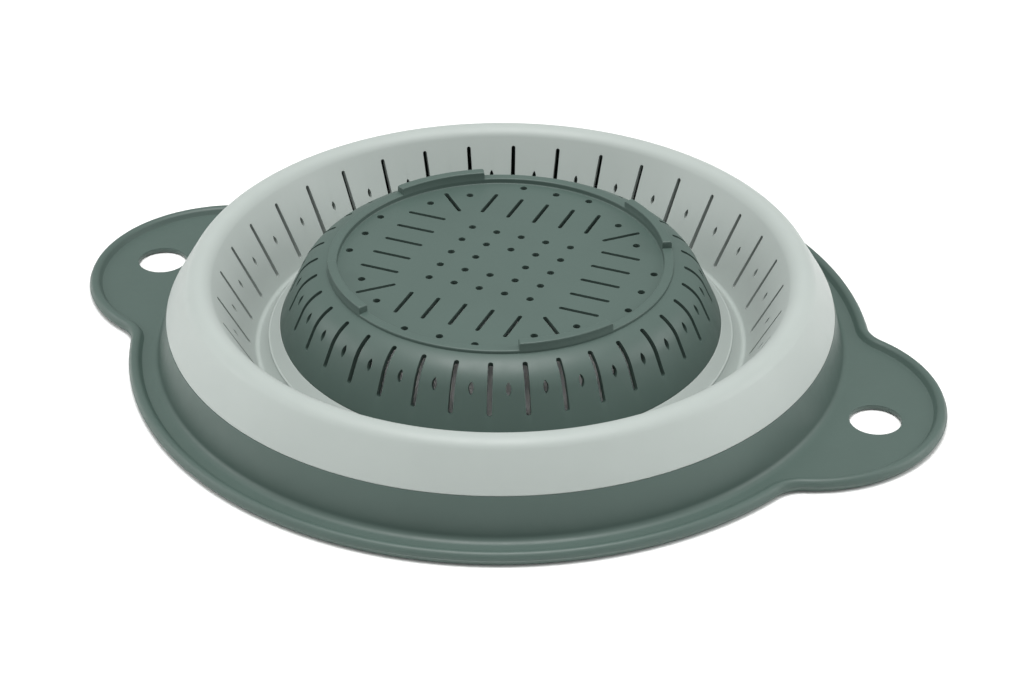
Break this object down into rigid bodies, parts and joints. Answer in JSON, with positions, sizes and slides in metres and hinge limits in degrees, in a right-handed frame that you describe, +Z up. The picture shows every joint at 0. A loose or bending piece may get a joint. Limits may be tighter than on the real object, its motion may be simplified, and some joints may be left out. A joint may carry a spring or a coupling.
{
  "type": "folding colander",
  "caption": "Collapsible colander with two flat handles: hard rim, slotted soft folding wall and slotted drain basket with a raised foot ring.",
  "frame": {"origin": "the bowl's axis, at the table that the rim stands on, with the colander upside down", "axes": "+Z up along the bowl's axis, from the rim to the foot ring; the two handles lie on -X and +X"},
  "size_m": [0.307, 0.251, 0.0356],
  "materials": {
    "hard_plastic": "moulded polypropylene, satin, grey green",
    "soft_plastic": "moulded thermoplastic elastomer, satin, pale grey green"
  },
  "bodies": {
    "rim": {"rim_frame": "hard_plastic", "soft_wall_outer_band": "soft_plastic", "soft_wall_fold_band": "soft_plastic"},
    "basket": {"soft_wall_inner_band": "soft_plastic", "drain_basket": "hard_plastic"}
  },
  "joints": [
    {"name": "basket_unfold", "type": "slide", "parent": "rim", "child": "basket", "axis": [0, 0, 1], "range_m": [0, 0.054], "deforming": ["soft_wall_fold_band"]}
  ]
}
